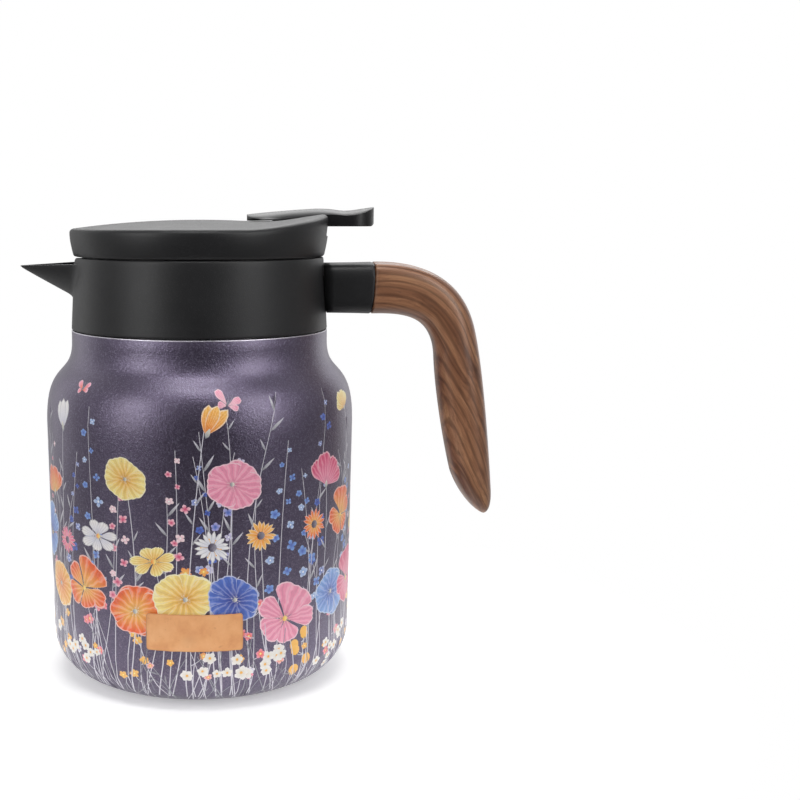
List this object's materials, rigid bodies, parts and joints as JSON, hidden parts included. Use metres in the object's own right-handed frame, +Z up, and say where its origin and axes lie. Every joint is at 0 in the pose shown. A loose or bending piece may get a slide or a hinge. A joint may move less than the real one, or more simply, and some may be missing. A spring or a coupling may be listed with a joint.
{
  "type": "insulated serving jug",
  "caption": "Vacuum-insulated steel serving jug with a pointed spout, screw-in lid, thumb lever that lifts a pouring valve, and an open-ended wooden grip.",
  "frame": {"origin": "centre of the foot pad's underside, on the flask's axis", "axes": "+Z up along the flask's axis, -X towards the spout, +X towards the handle, -Y towards the side with the blank patch"},
  "size_m": [0.1858, 0.12, 0.1818],
  "materials": {
    "painted_steel": "dark plum powder paint with a satin, finely grained surface",
    "brushed_steel": "brushed stainless steel",
    "matt_black_plastic": "fine matt moulding texture",
    "gloss_black_plastic": "semi-gloss",
    "grey_silicone": "soft matt silicone",
    "black_rubber": "matt rubber",
    "tan_leatherette": "smooth tan leatherette",
    "walnut": "satin-lacquered walnut",
    "brass": "plain turned brass",
    "seal_glass": "fused glass bead"
  },
  "bodies": {
    "flask": {"outer_shell": "painted_steel", "inner_liner": "brushed_steel", "base_cap": "brushed_steel", "foot_pad": "black_rubber", "vacuum_seal_bead": "seal_glass", "getter_pellet": "brushed_steel", "name_patch": "tan_leatherette", "collar": "matt_black_plastic", "pour_sleeve": "matt_black_plastic", "rim_gasket": "grey_silicone", "handle_bracket": "matt_black_plastic", "bracket_screw_near": "brushed_steel", "bracket_screw_far": "brushed_steel", "wood_grip": "walnut", "grip_bolt": "brushed_steel", "grip_insert": "brass"},
    "lid_carrier": {"lid_gasket": "grey_silicone"},
    "lid": {"lid_cover": "matt_black_plastic", "stopper": "matt_black_plastic", "plug_gasket": "grey_silicone", "lid_screw_1": "brushed_steel", "lid_screw_2": "brushed_steel", "lid_screw_3": "brushed_steel", "lever_pin": "brushed_steel"},
    "lever": {"thumb_lever": "gloss_black_plastic"},
    "valve": {"valve_stem": "brushed_steel", "stem_clip": "brushed_steel", "seal_retainer": "matt_black_plastic", "valve_seal": "grey_silicone", "valve_disc": "matt_black_plastic", "valve_spring": "brushed_steel"}
  },
  "joints": [
    {"name": "lid_rise", "type": "slide", "parent": "flask", "child": "lid_carrier", "axis": [0, 0, 1], "range_m": [0, 0.0305]},
    {"name": "lid_turn", "type": "hinge", "parent": "lid_carrier", "child": "lid", "pos_m": [0, 0, 0.163], "axis": [0, 0, 1], "range_deg": [0, 600]},
    {"name": "lever_press", "type": "hinge", "parent": "lid", "child": "lever", "pos_m": [0.033, 0, 0.171], "axis": [0, 1, 0], "range_deg": [0, 8], "stiffness_Nm_per_rad": 1.2, "springref_deg": -5.73},
    {"name": "valve_lift", "type": "slide", "parent": "lid", "child": "valve", "axis": [0, 0, 1], "range_m": [0, 0.00465], "deforming": ["valve_spring"]}
  ],
  "couplings": [
    {"joint": "lid_rise", "follows": "lid_turn", "m_per_rad": 0.0028648},
    {"joint": "valve_lift", "follows": "lever_press", "m_per_rad": 0.033}
  ]
}
